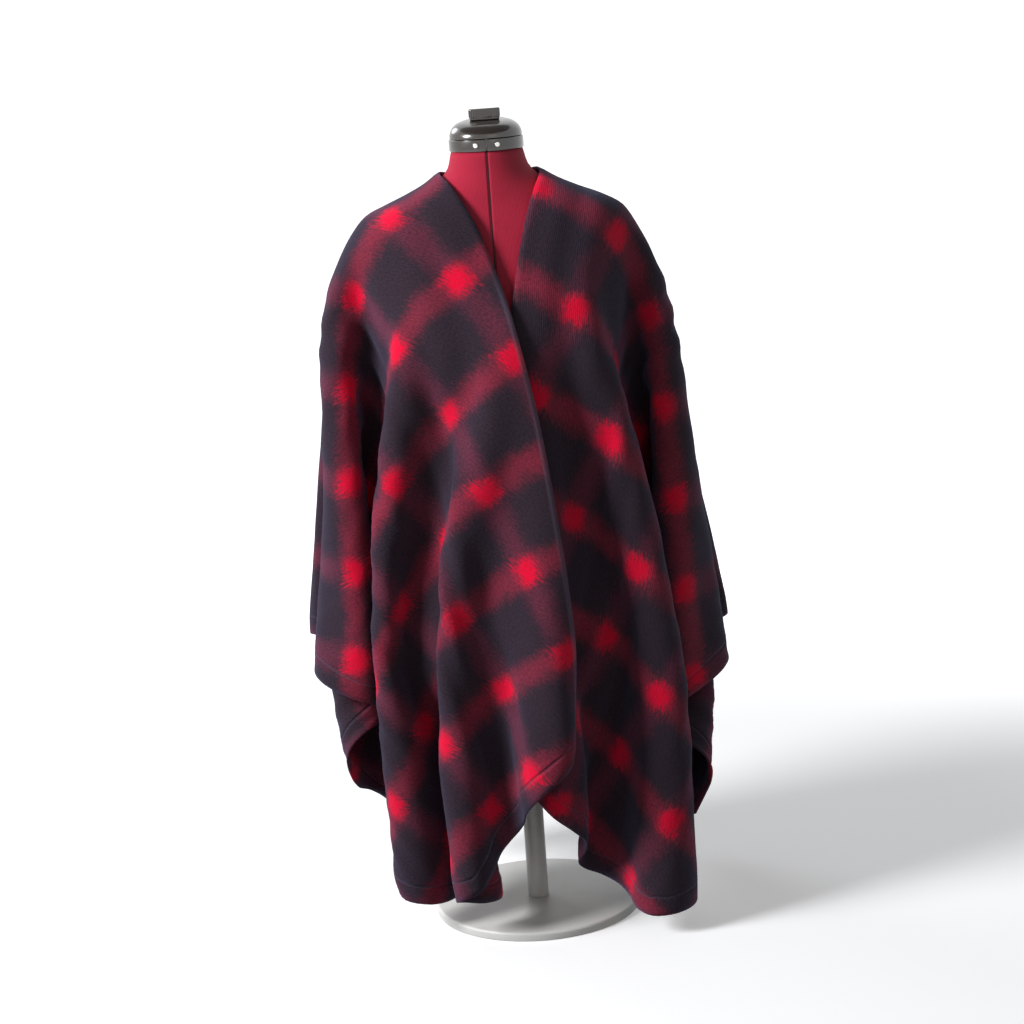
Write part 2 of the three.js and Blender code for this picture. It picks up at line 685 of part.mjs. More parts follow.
const upright = (shape, depth, curveSegments) => {
  return new THREE.ExtrudeGeometry(shape, { depth, bevelEnabled: false, curveSegments });
};

const material = (color, roughness, metalness) => {
  return new THREE.MeshStandardMaterial({ color, roughness, metalness });
};
const finish = {
  plaid: material(0x2b1a22, 0.95, 0),
  jersey: material(0xb0182c, 0.85, 0),
  plastic: material(0x241c1a, 0.25, 0),
  steel: material(0xb9b9b6, 0.35, 0.9),
  paint: material(0xd9d8d4, 0.45, 0.1),
  board: material(0xb59a74, 0.7, 0),
};

const object = new THREE.Group();
const upper = new THREE.Group(); // all that is measured from the form's datum
upper.position.z = DATUM;
object.add(upper);
const place = (group, name, geometry, look, x = 0, y = 0, z = 0) => {
  const mesh = new THREE.Mesh(geometry, look);
  mesh.name = name;
  mesh.position.set(x, y, z);
  group.add(mesh);
  return mesh;
};

// The cape's three pieces.
const { grid, points } = drape();
const normals = outwards(grid, points);
const lastColumn = grid.columns - 1;
const lastRow = grid.rows - 1;
const seam = grid.shoulderRow;
const pieces = {
  cape_back: { columns: [0, lastColumn], rows: [0, seam] },
  cape_front_right: { columns: [0, grid.cells], rows: [seam, lastRow] },
  cape_front_left: { columns: [grid.cells + 1, lastColumn], rows: [seam, lastRow] },
};
for (const [name, { columns, rows }] of Object.entries(pieces)) {
  place(upper, name, clothPiece(grid, points, normals, columns, rows, seam), finish.plaid);
}

// The form, and the board that closes its underside.
const grow = roomToGrow(grid, points, normals);
const formBottom = FORM_SECTIONS[0].z;
const neckTop = FORM_SECTIONS[FORM_SECTIONS.length - 1].z;
place(upper, "form_torso", formGeometry(grow), finish.jersey);
const boardShape = new THREE.Shape();
sectionOutline(formSection(formBottom), -BOARD.inset).forEach(([x, y], k) => {
  if (k === 0) boardShape.moveTo(x, y);
  else boardShape.lineTo(x, y);
});
const board = upright(boardShape, BOARD.thickness, 1);
const boardBottom = formBottom - FIT - BOARD.thickness;
place(upper, "form_board", board, finish.board, 0, 0, boardBottom);

// The neck's cap: a band with a slot at the front, a low dome inside it and a flat knob on top.
const FRONT = -Math.PI / 2;
const slotTurn = BAND.slot / 2 / BAND.radius;
const bandEnds = [FRONT + slotTurn, FRONT + 2 * Math.PI - slotTurn];
const bandShape = new THREE.Shape();
bandShape.absarc(0, 0, BAND.radius, bandEnds[0], bandEnds[1], false);
bandShape.absarc(0, 0, BAND.radius - BAND.wall, bandEnds[1], bandEnds[0], true);
place(upper, "neck_band", upright(bandShape, BAND.height, 24), finish.plastic, 0, 0, neckTop);
const capSide = BAND.height + CAP.lip;
const dome = [[0, 0], [CAP.radius, 0], [CAP.radius, capSide]];
for (let k = 1; k < CAP.steps; k += 1) {
  const turn = (Math.PI / 2) * (k / CAP.steps);
  dome.push([CAP.radius * Math.cos(turn) ** CAP.flatness, capSide + CAP.rise * Math.sin(turn)]);
}
dome.push([0, capSide + CAP.rise]);
place(upper, "neck_cap", turned(dome, 36), finish.plastic, 0, 0, neckTop);

const knobShape = new THREE.Shape();
const [knobHalf, footHalf, corner] = [KNOB.length / 2, KNOB.footLength / 2, KNOB.corner];
knobShape.moveTo(-footHalf, 0);
knobShape.lineTo(footHalf, 0);
knobShape.lineTo(footHalf, KNOB.footHeight);
knobShape.lineTo(knobHalf, KNOB.footHeight);
knobShape.lineTo(knobHalf, KNOB.height - corner);
knobShape.absarc(knobHalf - corner, KNOB.height - corner, corner, 0, Math.PI / 2, false);
knobShape.lineTo(-knobHalf + corner, KNOB.height);
knobShape.absarc(-knobHalf + corner, KNOB.height - corner, corner, Math.PI / 2, Math.PI, false);
knobShape.lineTo(-knobHalf, KNOB.footHeight);
knobShape.lineTo(-footHalf, KNOB.footHeight);
const knob = upright(knobShape, KNOB.width, 5).rotateX(Math.PI / 2);
place(upper, "cap_knob", knob, finish.plastic, 0, KNOB.width / 2, neckTop + capSide + CAP.rise + FIT);

const screwTurn = Math.asin(SCREW.offset / BAND.radius);
for (const [name, side] of [["band_screw_right", -1], ["band_screw_left", 1]]) {
  const head = new THREE.CylinderGeometry(SCREW.radius, SCREW.radius, SCREW.height, 20);
  const screw = place(upper, name, head, finish.steel);
  const out = BAND.radius + FIT + SCREW.height / 2;
  const turn = side * screwTurn;
  screw.position.set(out * Math.sin(turn), -out * Math.cos(turn), neckTop + SCREW.up);
  screw.rotation.z = turn;
}

// The stand.
const poleTop = DATUM + boardBottom - FIT;
const collar = turned([
  [POLE.radius + FIT, 0], [COLLAR.radius, 0], [COLLAR.radius, COLLAR.height],
  [POLE.radius + FIT, COLLAR.height], [POLE.radius + FIT, 0],
], 32);
place(object, "pole_collar", collar, finish.paint, 0, 0, poleTop - COLLAR.height);
const poleLength = poleTop - BASE.thickness - FIT;
const pole = new THREE.CylinderGeometry(POLE.radius, POLE.radius, poleLength, 32).rotateX(Math.PI / 2);
place(object, "pole", pole, finish.paint, 0, 0, BASE.thickness + FIT + poleLength / 2);
const rim = [[0, 0], [BASE.radius, 0]];
for (let k = 0; k <= BASE.edgeSteps; k += 1) {
  const turn = (Math.PI / 2) * (k / BASE.edgeSteps);
  const [inwards, down] = [1 - Math.cos(turn), 1 - Math.sin(turn)];
  rim.push([BASE.radius - BASE.edge * inwards, BASE.thickness - BASE.edge * down]);
}
rim.push([0, BASE.thickness]);
place(object, "base_plate", turned(rim, 48), finish.paint);

export default object;
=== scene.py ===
import math

import bmesh
import bpy
import numpy as np
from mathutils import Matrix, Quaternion, Vector
from mathutils.bvhtree import BVHTree


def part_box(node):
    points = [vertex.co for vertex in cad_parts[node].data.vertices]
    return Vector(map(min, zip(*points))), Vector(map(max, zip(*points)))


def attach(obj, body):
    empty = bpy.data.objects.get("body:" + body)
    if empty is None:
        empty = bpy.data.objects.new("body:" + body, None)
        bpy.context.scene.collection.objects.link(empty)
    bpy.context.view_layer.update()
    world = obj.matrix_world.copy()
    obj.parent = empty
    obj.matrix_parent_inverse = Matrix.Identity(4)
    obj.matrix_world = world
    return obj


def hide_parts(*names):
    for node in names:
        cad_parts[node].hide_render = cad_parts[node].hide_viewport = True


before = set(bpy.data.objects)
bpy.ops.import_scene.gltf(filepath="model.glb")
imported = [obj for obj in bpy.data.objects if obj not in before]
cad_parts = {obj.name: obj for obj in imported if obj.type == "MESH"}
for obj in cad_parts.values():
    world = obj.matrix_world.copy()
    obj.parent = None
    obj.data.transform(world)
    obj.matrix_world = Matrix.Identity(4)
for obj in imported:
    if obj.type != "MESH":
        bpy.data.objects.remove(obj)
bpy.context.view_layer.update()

scene = bpy.context.scene

# The photo's viewing angle.
CAMERA_PLACE = (0, -3.2, 1.253)
CAMERA_PITCH = math.radians(12.35)
CAMERA_ROLL = math.radians(4)
CAMERA_LENS = 86.5

# The cut of the cape, in metres: u runs out from the centre line, v down from the shoulder line.
CUT_HALF_WIDTH = 0.700
NECK_SLIT = 0.090  # how far the front slit runs past the shoulder line

# The hems. Each row is (distance out from the centre line, length of cloth below the shoulder line).
FRONT_HEM = [
    (0, 0.790),
    (0.120, 0.862),
    (0.260, 0.938),
    (0.400, 0.935),
    (0.520, 0.865),
    (0.620, 0.760),
    (0.700, 0.620),
]
BACK_HEM = [
    (0, 0.740),
    (0.400, 0.745),
    (0.560, 0.720),
    (0.640, 0.660),
    (0.700, 0.560),
]

# The solids' grid, and the dressed cloth on it.
ACROSS = 24  # cells of the solids' grid from the centre line to the side edge
BACK_ROWS = 22  # cells from the back hem to the end of the neck slit
NECK_ROWS = 3  # cells along the neck slit, up to the shoulder line
FRONT_ROWS = 27  # cells from the shoulder line to the front hem
SEAM_ROW = BACK_ROWS + NECK_ROWS
CLOTH = 0.0024  # the wall's thickness
FINER = 4  # how many times finer the dressed cloth is than the solids

# The plaid, in metres. Each piece has the place of its first column and its first row.
PLAID_REPEAT = 0.118
PLAID_STARTS = {
    "cape_back": (0.0, 0.035),
    "cape_front_right": (-0.019, 0.031),
    "cape_front_left": (0.021, 0.052),
}
BAND_SHARE = 0.27  # of the repeat, from a band's middle to where its colour has faded out
BIAS = math.radians(66)  # the way that the brushed threads lie
FRONT_GRAIN = math.radians(18)  # how far the fronts' plaid is turned from their edges
GROUND = (0.026, 0.018, 0.031)
WARM_GROUND = (0.032, 0.017, 0.022)
COLUMN_DYE = (0.120, 0.022, 0.042)
ROW_DYE = (0.240, 0.020, 0.043)
SPOT_DYE = (0.80, 0.001, 0.034)
# a pale lilac-grey painted highlight for the lapped front edge
EDGE_HIGHLIGHT_COLOUR = (0.18, 0.12, 0.18)
THREAD = (0.080, 0.064, 0.095)

# The turned hems.
HEM = 0.026
HEM_FOLD = 0.0016  # how much thicker the wall is there
EDGE_WEAR = 0.0007  # how far each face of the wall is rubbed in at its edge
STITCH = 0.0042  # from one stitch to the next
STITCH_INSET = 0.001  # from the hem's inner edge
STITCH_LINE = 0.0008  # half the stitch line's width
EDGE_END = NECK_SLIT + FRONT_HEM[0][1]  # where the front edge ends, along the outline from the nape

# The small soft folds that run down the cloth.
FOLD_HEIGHT = 0.0045
FOLD_WIDTH = 0.050
FOLD_SPARE = 0.0012  # left free between two folds that face each other
FOLD_REACH = 0.46  # how far out from the centre line they go
RAY_START = 0.0002  # how far outside the cloth the room over it is measured from

# The form's cover and the cap.
COVER_INSET = 0.0009  # how far the smooth cover is set in
FORM_FINER = 4  # how many times finer the cover is than the solid
CAP_LIP = 0.0016  # the dome stands this far out over the band
CAP_FLATNESS = 0.46  # lower is flatter, with a tighter shoulder
CAP_SLOPE = 0.13  # the crown slopes down towards the front
GRIP_SQUARENESS = 0.35  # lower is squarer, seen from above
RIB_DEPTH = 0.0004
RIB_PITCH = 0.0030


def make_camera():
    data = bpy.data.cameras.new("camera")
    data.sensor_width = 36
    data.lens = CAMERA_LENS
    camera = bpy.data.objects.new("camera", data)
    scene.collection.objects.link(camera)
    camera.location = CAMERA_PLACE
    forward = Vector((0, math.cos(CAMERA_PITCH), -math.sin(CAMERA_PITCH)))
    camera.rotation_mode = "QUATERNION"
    camera.rotation_quaternion = forward.to_track_quat("-Z", "Y") @ Quaternion((0, 0, 1), -CAMERA_ROLL)
    scene.camera = camera


def make_light(name, place, target, size, power, colour):
    data = bpy.data.lights.new(name, "AREA")
    data.shape = "DISK"
    data.size = size
    data.energy = power
    data.color = colour
    lamp = bpy.data.objects.new(name, data)
    scene.collection.objects.link(lamp)
    lamp.location = place
    lamp.rotation_euler = (Vector(target) - Vector(place)).to_track_quat("-Z", "Y").to_euler()


def make_mesh(name, points, faces, smooth=True):
    mesh = bpy.data.meshes.new(name)
    mesh.from_pydata([tuple(p) for p in points], [], faces)
    mesh.validate()
    if smooth:
        mesh.shade_smooth()
    piece = bpy.data.objects.new(name, mesh)
    scene.collection.objects.link(piece)
    return piece


def tube_faces(rows, around):
    """The faces of a closed tube of points: its sides, then its bottom and its top."""
    faces = []
    for r in range(rows - 1):
        for k in range(around):
            m = (k + 1) % around
            faces.append((r * around + k, r * around + m, (r + 1) * around + m, (r + 1) * around + k))
    faces.append(tuple(range(around))[::-1])
    faces.append(tuple((rows - 1) * around + k for k in range(around)))
    return faces


class Nodes:
    """A material's node tree, with short calls for the nodes that the materials here are made of."""

    def __init__(self, name):
        self.material = bpy.data.materials.new(name)
        self.material.use_nodes = True
        self.tree = self.material.node_tree
        self.shader = self.tree.nodes["Principled BSDF"]

    def add(self, kind, **values):
        node = self.tree.nodes.new(kind)
        for name, value in values.items():
            setattr(node, name, value)
        return node

    def feed(self, socket, value):
        if isinstance(value, bpy.types.NodeSocket):
            self.tree.links.new(value, socket)
        elif value is not None:
            socket.default_value = value

    def place(self):
        return self.add("ShaderNodeTexCoord").outputs["Object"]

    def split(self, where):
        node = self.add("ShaderNodeSeparateXYZ")
        self.feed(node.inputs[0], where)
        return node.outputs

    def maths(self, operation, *values):
        node = self.add("ShaderNodeMath", operation=operation)
        for socket, value in zip(node.inputs, values):
            self.feed(socket, value)
        return node.outputs[0]

    def ramp(self, value, *stops):
        node = self.add("ShaderNodeValToRGB")
        self.feed(node.inputs[0], value)
        elements = node.color_ramp.elements
        while len(elements) < len(stops):
            elements.new(0.5)
        for element, (place, colour) in zip(elements, stops):
            element.position = place
            element.color = (*colour, 1)
        return node.outputs[0]

    def mix(self, share, a, b, blend="MIX"):
        node = self.add("ShaderNodeMix", data_type="RGBA", blend_type=blend)
        for socket, value in zip((node.inputs[0], node.inputs[6], node.inputs[7]), (share, a, b)):
            self.feed(socket, (*value, 1) if isinstance(value, tuple) and len(value) == 3 else value)
        return node.outputs[2]

    def noise(self, where, scale, detail=2.0, rough=0.5):
        node = self.add("ShaderNodeTexNoise")
        self.feed(node.inputs["Vector"], where)
        for name, value in (("Scale", scale), ("Detail", detail), ("Roughness", rough)):
            node.inputs[name].default_value = value
        return node.outputs["Fac"]

    def stretched(self, where, scale):
        node = self.add("ShaderNodeMapping")
        self.feed(node.inputs["Vector"], where)
        node.inputs["Scale"].default_value = scale
        return node.outputs[0]

    def along(self, where, turn, length, width):
        """The place turned to a direction, in steps of a length along it and a width across it."""
        node = self.add("ShaderNodeMapping", vector_type="TEXTURE")
        self.feed(node.inputs["Vector"], where)
        node.inputs["Scale"].default_value = (length, width, 1)
        node.inputs["Rotation"].default_value = (0, 0, turn)
        return node.outputs[0]

    def fade(self, value, full, none):
        """1 up to one value, and smoothly down to 0 at the other."""
        node = self.add("ShaderNodeMapRange", interpolation_type="SMOOTHERSTEP")
        for socket, number in zip(node.inputs, (value, full, none, 1, 0)):
            self.feed(socket, number)
        return node.outputs[0]

    def set(self, **values):
        for name, value in values.items():
            socket = self.shader.inputs[name.replace("_", " ")]
            self.feed(socket, (*value, 1) if isinstance(value, tuple) and len(value) == 3 else value)

    def bump(self, height, distance, strength=1.0):
        node = self.add("ShaderNodeBump")
        node.inputs["Strength"].default_value = strength
        node.inputs["Distance"].default_value = distance
        self.feed(node.inputs["Height"], height)
        self.feed(self.shader.inputs["Normal"], node.outputs[0])


def grey(value):
    return (value, value, value)


def plaid_material():
    """Brushed cloth in a soft shadow plaid: dark squares, muted bands, bright spots where these cross."""
    n = Nodes("plaid_fleece")
    cut = n.add("ShaderNodeUVMap", uv_map="cut").outputs[0]
    parts = n.split(cut)
    along_edge, in_from_edge = n.split(n.add("ShaderNodeUVMap", uv_map="hem").outputs[0])[:2]

    # The brushed threads carry the dye a little way along them.
    fray = n.noise(n.along(cut, BIAS, 0.012, 0.0027), 1, 2)
    drift = n.noise(cut, 24, 3)
    wander = n.maths("MULTIPLY_ADD", fray, 0.023, n.maths("MULTIPLY_ADD", drift, 0.024, -0.0235))

    def band(coordinate):
        at = n.maths("DIVIDE", n.maths("ADD", coordinate, wander), PLAID_REPEAT)
        off = n.maths("ABSOLUTE", n.maths("SUBTRACT", n.maths("FRACT", n.maths("ADD", at, 0.5)), 0.5))
        return n.fade(off, 0.0, BAND_SHARE)

    column, row = band(parts[0]), band(parts[1])
    uneven = n.noise(cut, 14, 2)
    ground = n.mix(n.noise(cut, 9, 2), GROUND, WARM_GROUND)
    column_share = n.maths("MULTIPLY", column, n.maths("MULTIPLY_ADD", uneven, 0.9, 0.45))
    row_share = n.maths("MULTIPLY", row, n.maths("MULTIPLY_ADD", uneven, -0.8, 1.25))
    spots = n.ramp(n.maths("MULTIPLY", column, row), (0.10, grey(0)), (0.40, grey(0.35)), (0.86, grey(1)))
    colour = n.mix(column_share, ground, COLUMN_DYE)
    colour = n.mix(row_share, colour, ROW_DYE)
    colour = n.mix(spots, colour, SPOT_DYE)
    speckle = n.noise(n.along(cut, BIAS, 0.0042, 0.0022), 1, 3, 0.75)
    colour = n.mix(0.8, colour, n.ramp(speckle, (0.30, grey(0.24)), (0.70, grey(0.76))), "OVERLAY")

    # The lapped front edge of the right front gets a paler strip of painted highlight, where its turned
    # edge would catch the light. A stitch line holds the hem along the bottom and the sides.
    right = n.maths("LESS_THAN", parts[0], 0.0)
    above_hem = n.fade(along_edge, EDGE_END - 0.03, EDGE_END)
    below_neck = n.maths("SUBTRACT", above_hem, n.fade(along_edge, 0.22, 0.34))
    where_edge_highlight = n.maths("MULTIPLY", right, below_neck)
    painted_edge_highlight = n.maths("MULTIPLY", where_edge_highlight, n.fade(in_from_edge, 0.004, 0.009))
    # mixes the painted highlight in along the right front's edge
    colour = n.mix(n.maths("MULTIPLY", painted_edge_highlight, 0.45), colour, EDGE_HIGHLIGHT_COLOUR)
    front_edge = n.maths("LESS_THAN", along_edge, EDGE_END)
    off_line = n.maths("ABSOLUTE", n.maths("SUBTRACT", in_from_edge, HEM - STITCH_INSET))
    off_line = n.maths("ADD", off_line, front_edge)
    line = n.maths("LESS_THAN", off_line, STITCH_LINE)
    dash = n.maths("LESS_THAN", n.maths("FRACT", n.maths("DIVIDE", along_edge, STITCH)), 0.72)
    colour = n.mix(n.maths("MULTIPLY", n.maths("MULTIPLY", line, dash), 0.6), colour, THREAD)

    n.set(Base_Color=colour, Roughness=0.93, Specular_IOR_Level=0.10)
    n.set(Sheen_Weight=0.22, Sheen_Roughness=0.5, Sheen_Tint=(0.44, 0.48, 0.82))
    twill = n.add("ShaderNodeTexWave", wave_type="BANDS", bands_direction="Y")
    n.feed(twill.inputs["Vector"], n.along(cut, BIAS, 1, 1))
    twill.inputs["Scale"].default_value = 130
    twill.inputs["Distortion"].default_value = 2.5
    twill.inputs["Detail"].default_value = 1
    twill.inputs["Detail Scale"].default_value = 4
    height = n.maths("ADD", n.maths("MULTIPLY", twill.outputs["Fac"], 0.25), speckle)
    height = n.maths("MULTIPLY_ADD", n.fade(off_line, 0, 0.004), -2.2, height)
    n.bump(height, 0.0007)
    return n.material


def rotated(step):
    """A step on the grid of triangles, turned by a sixth of a turn."""
    return (step[0] + step[1], -step[0])


def outer_grid(node, columns, rows, rises):
    """The outer face of a cape solid, read back onto its grid, as one array for each side."""
    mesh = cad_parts[node].data
    keys = {}
    corner = [keys.setdefault(tuple(round(x * 1e5) for x in v.co), len(keys)) for v in mesh.vertices]
    points = np.array(list(keys), float) / 1e5
    third = {}
    for polygon in mesh.polygons:
        a, b, c = (corner[i] for i in polygon.vertices)
        if min(np.linalg.norm(points[p] - points[q]) for p, q in ((a, b), (b, c), (c, a))) > 2 * CLOTH:
            third[a, b], third[b, c], third[c, a] = c, a, b
    first = max(third, key=lambda edge: points[edge[0]][2])
    label = {first[0]: (0, 0), first[1]: (0, 1)}
    faces = []
    seen = set()
    queue = [first, first[::-1]]
    while queue:
        p, q = queue.pop()
        w = third.get((p, q))
        if w is None or (p, q) in seen:
            continue
        seen.update([(p, q), (q, w), (w, p)])
        step = rotated((label[q][0] - label[p][0], label[q][1] - label[p][1]))
        label.setdefault(w, (label[p][0] + step[0], label[p][1] + step[1]))
        faces.append((p, q, w))
        queue += [(w, q), (p, w)]
    names = list(label)
    heights = np.array([points[name][2] for name in names])
    spots = np.array([label[name] for name in names])
    for _ in range(6):
        spots = np.stack(rotated(spots.T), 1)
        spots -= spots.min(0)
        if tuple(spots.max(0)) != (columns - 1, rows - 1):
            continue
        top, bottom = heights[spots[:, 1] == rows - 1].mean(), heights[spots[:, 1] == 0].mean()
        if (top > bottom) == rises:
            break
    else:
        raise ValueError(f"{node} isn't the grid that the cut makes")
    at = dict(zip(names, spots.tolist()))
    halves = np.full((2, ACROSS + 1, rows, 3), np.nan)
    for face in faces:
        side = int(columns > ACROSS + 1 and max(at[p][0] for p in face) > ACROSS)
        for p in face:
            halves[side, at[p][0] - side * ACROSS, at[p][1]] = points[p]
    return halves


def read_cape():
    """Each half of the cape as one grid, from the centre to the side and the back hem to the front."""
    back = outer_grid("cape_back", 2 * ACROSS + 1, SEAM_ROW + 1, True)
    halves = []
    for side, node in enumerate(("cape_front_right", "cape_front_left")):
        front = outer_grid(node, ACROSS + 1, FRONT_ROWS + 1, False)[0]
        seam = (back[side][:, -1:] + front[:, :1]) / 2
        half = np.concatenate([back[side][:, :-1], seam, front[:, 1:]], 1)
        halves.append(half[::-1] if side == 0 else half)
    return halves


def with_ghosts(half, other):
    """The grid with one more line all round, which gives its edge lines their slopes."""
    wide = np.zeros((half.shape[0] + 2, half.shape[1] + 2, 3))
    wide[1:-1, 1:-1] = half
    wide[0, 1:-1] = 2 * half[0] - half[1]
    wide[0, 1:BACK_ROWS + 2] = other[1, :BACK_ROWS + 1]
    wide[-1, 1:-1] = 2 * half[-1] - half[-2]
    wide[:, 0] = 2 * wide[:, 1] - wide[:, 2]
    wide[:, -1] = 2 * wide[:, -2] - wide[:, -3]
    return wide


def curve_shares(f):
    """The shares of four points in a row on the smooth curve through the middle two."""
    return np.stack([
        (-f + 2 * f**2 - f**3) / 2,
        (2 - 5 * f**2 + 3 * f**3) / 2,
        (f + 4 * f**2 - 3 * f**3) / 2,
        (-f**2 + f**3) / 2,
    ])


def finer_grid(wide, across, down):
    """Points on the smooth surface through the grid, at these places across and down."""
    i = np.clip(np.floor(across).astype(int), 0, wide.shape[0] - 4)
    j = np.clip(np.floor(down).astype(int), 0, wide.shape[1] - 4)
    a, b = curve_shares(across - i), curve_shares(down - j)
    rows = sum(a[k][:, None, None] * wide[i + k] for k in range(4))
    return sum(b[k][None, :, None] * rows[:, j + k] for k in range(4))


def flat_v(u, row):
    """The place down the cut of a row of the grid, at a distance out from the centre line."""
    front = np.interp(u, *zip(*FRONT_HEM))
    back = np.interp(u, *zip(*BACK_HEM))
    return np.where(
        row >= SEAM_ROW, (row - SEAM_ROW) * front / FRONT_ROWS,
        np.where(
            row > BACK_ROWS, -(SEAM_ROW - row) * NECK_SLIT / NECK_ROWS,
            -NECK_SLIT - (BACK_ROWS - row) * (back - NECK_SLIT) / BACK_ROWS,
        ),
    )


def hem_place(u, v):
    """How far along the cut's outline the nearest place on it is, and how far in from it the point is."""
    outline = [(0, -NECK_SLIT), (0, 0), *FRONT_HEM]
    outline += [(out, -length) for out, length in BACK_HEM[::-1]]
    best = np.full(u.shape, 9.0)
    along = np.zeros(u.shape)
    start = 0.0
    for (u0, v0), (u1, v1) in zip(outline, outline[1:]):
        length = math.hypot(u1 - u0, v1 - v0)
        t = np.clip(((u - u0) * (u1 - u0) + (v - v0) * (v1 - v0)) / length**2, 0, 1)
        off = np.hypot(u - u0 - t * (u1 - u0), v - v0 - t * (v1 - v0))
        along = np.where(off < best, start + t * length, along)
        best = np.minimum(best, off)
        start += length
    return along, best


def small_folds(u, v, inwards):
    """How far the cloth would rise in the soft folds. It is flat at its edges and shoulder line."""
    swerve = 2.1 * np.sin(6.5 * v + 0.8)
    spacing = 1.9 * np.sin(23 * u + 4 * v)
    phase = 2 * np.pi * u / FOLD_WIDTH + swerve + spacing
    strength = 0.6 + 0.4 * np.sin(31 * u - 9 * v + 1.0)
    from_edge, from_shoulder = np.clip(inwards / 0.06, 0, 1), np.clip((np.abs(v) - 0.01) / 0.08, 0, 1)
    free = from_edge * from_shoulder * np.clip((FOLD_REACH - u) / 0.12, 0, 1)
    return FOLD_HEIGHT * strength * free * (0.5 + 0.5 * np.sin(phase))


def free_room(points, normals, quads, trees):
    """How far each point may move out along its normal, evened out over the cloth."""
    room = np.full(len(points), 2 * FOLD_HEIGHT)
    for k, (point, normal) in enumerate(zip(points, normals)):
        start, way = Vector(point + normal * RAY_START), Vector(normal)
        for tree in trees:
            distance = tree.ray_cast(start, way, 3 * FOLD_HEIGHT)[3]
            if distance is not None:
                room[k] = min(room[k], max(0, (distance - FOLD_SPARE) / 2))
    quads = np.array(quads)
    edges = np.concatenate([quads[:, (k, (k + 1) % 4)] for k in range(4)])
    edges = np.concatenate([edges, edges[:, ::-1]])
    shares = np.bincount(edges[:, 0], minlength=len(points))
    spread, smooth = 3, 12
    for _ in range(spread):
        np.minimum.at(room, edges[:, 0], room[edges[:, 1]].copy())
    least = room.copy()
    for _ in range(smooth):
        room = (room + np.bincount(edges[:, 0], room[edges[:, 1]], len(points)) / shares) / 2
    return np.minimum(room, 2 * least)


def raise_folds(made):
    """Raises the soft folds of the cape's pieces wherever nothing lies over them."""
    trees = [BVHTree.FromObject(piece, bpy.context.evaluated_depsgraph_get()) for piece, *_ in made]
    moves = []
    for piece, normals, rises, quads in made:
        points = np.array([v.co for v in piece.data.vertices])
        count = len(normals)
        rise = np.minimum(rises, free_room(points[:count], normals, quads, trees))
        points += np.concatenate([normals * rise[:, None]] * 2)
        moves.append(points)
    for (piece, *_), points in zip(made, moves):
        piece.data.vertices.foreach_set("co", points.ravel())
        piece.data.update()


def cape_sheet(node, sides, first, last, wide):
    """One piece's outer face: its points, cut places, hem places and folds' heights, and its quads."""
    across = np.arange(ACROSS * FINER + 1) / FINER
    down = np.arange(first * FINER, last * FINER + 1) / FINER
    points, cuts, hems, rises, quads, number = [], [], [], [], [], {}
    grain = FRONT_GRAIN if first else 0.0
    first_column, first_row = PLAID_STARTS[node]
    for side in sides:
        surface = finer_grid(wide[side], across, down)
        if len(sides) == 2:
            both = [finer_grid(w, across[:1], down)[0] for w in wide]
            joined = down <= BACK_ROWS
            surface[0][joined] = (both[0][joined] + both[1][joined]) / 2
        u = across[:, None] * CUT_HALF_WIDTH / ACROSS + 0 * down[None]
        v = flat_v(u, down[None] + 0 * u)
        along, inwards = hem_place(u, v)
        folds = small_folds(u, v, inwards)
        column = u * math.cos(grain) + v * math.sin(grain) - first_column
        row = v * math.cos(grain) - u * math.sin(grain) - first_row
        sign = 1 if side else -1
        for i in range(len(across)):
            for j in range(len(down)):
                if i == 0 and side and len(sides) == 2 and down[j] <= BACK_ROWS:
                    number[side, i, j] = number[0, i, j]
                    continue
                number[side, i, j] = len(points)
                points.append(surface[i, j])
                cuts.append((sign * column[i, j], row[i, j]))
                hems.append((along[i, j], inwards[i, j]))
                rises.append(folds[i, j])
        for i in range(len(across) - 1):
            for j in range(len(down) - 1):
                quad = [number[side, a, b] for a, b in ((i, j), (i, j + 1), (i + 1, j + 1), (i + 1, j))]
                quads.append(quad if side else quad[::-1])
    return np.array(points), cuts, hems, np.array(rises), quads


def point_normals(points, quads):
    normals = np.zeros_like(points)
    corners = points[np.array(quads)]
    facing = np.cross(corners[:, 2] - corners[:, 0], corners[:, 3] - corners[:, 1])
    for k in range(4):
        np.add.at(normals, np.array(quads)[:, k], facing)
    return normals / np.linalg.norm(normals, axis=1)[:, None]


def rim_of(quads):
    """The edges that only one quad has."""
    rim = {}
    for quad in quads:
        for p, q in zip(quad, quad[1:] + quad[:1]):
            if rim.pop((q, p), None) is None:
                rim[p, q] = True
    return list(rim)


def make_cape_piece(name, node, sides, first, last, wide):
    """One piece of the cape: the cloth as a closed wall, thicker where its hem is turned in."""
    points, cuts, hems, rises, quads = cape_sheet(node, sides, first, last, wide)
    normals = point_normals(points, quads)
    inwards = np.array(hems)[:, 1]
    folded = np.clip((HEM + 0.002 - inwards) / 0.004, 0, 1)
    worn = EDGE_WEAR * np.clip(1 - inwards / 0.004, 0, 1) ** 2
    outer = points - normals * worn[:, None]
    inner = points - normals * (CLOTH + HEM_FOLD * folded - worn)[:, None]
    count = len(points)
    faces = [tuple(q) for q in quads] + [tuple(count + p for p in q[::-1]) for q in quads]
    faces += [(q, p, count + p, count + q) for p, q in rim_of(quads)]
    piece = make_mesh(name, np.concatenate([outer, inner]), faces)
    mesh = piece.data
    loops = np.empty(len(mesh.loops), np.int32)
    mesh.loops.foreach_get("vertex_index", loops)
    for layer, values in (("cut", cuts), ("hem", hems)):
        uv = mesh.uv_layers.new(name=layer)
        uv.data.foreach_set("uv", np.array(values * 2, np.float32)[loops].ravel())
    return piece, normals, rises, quads


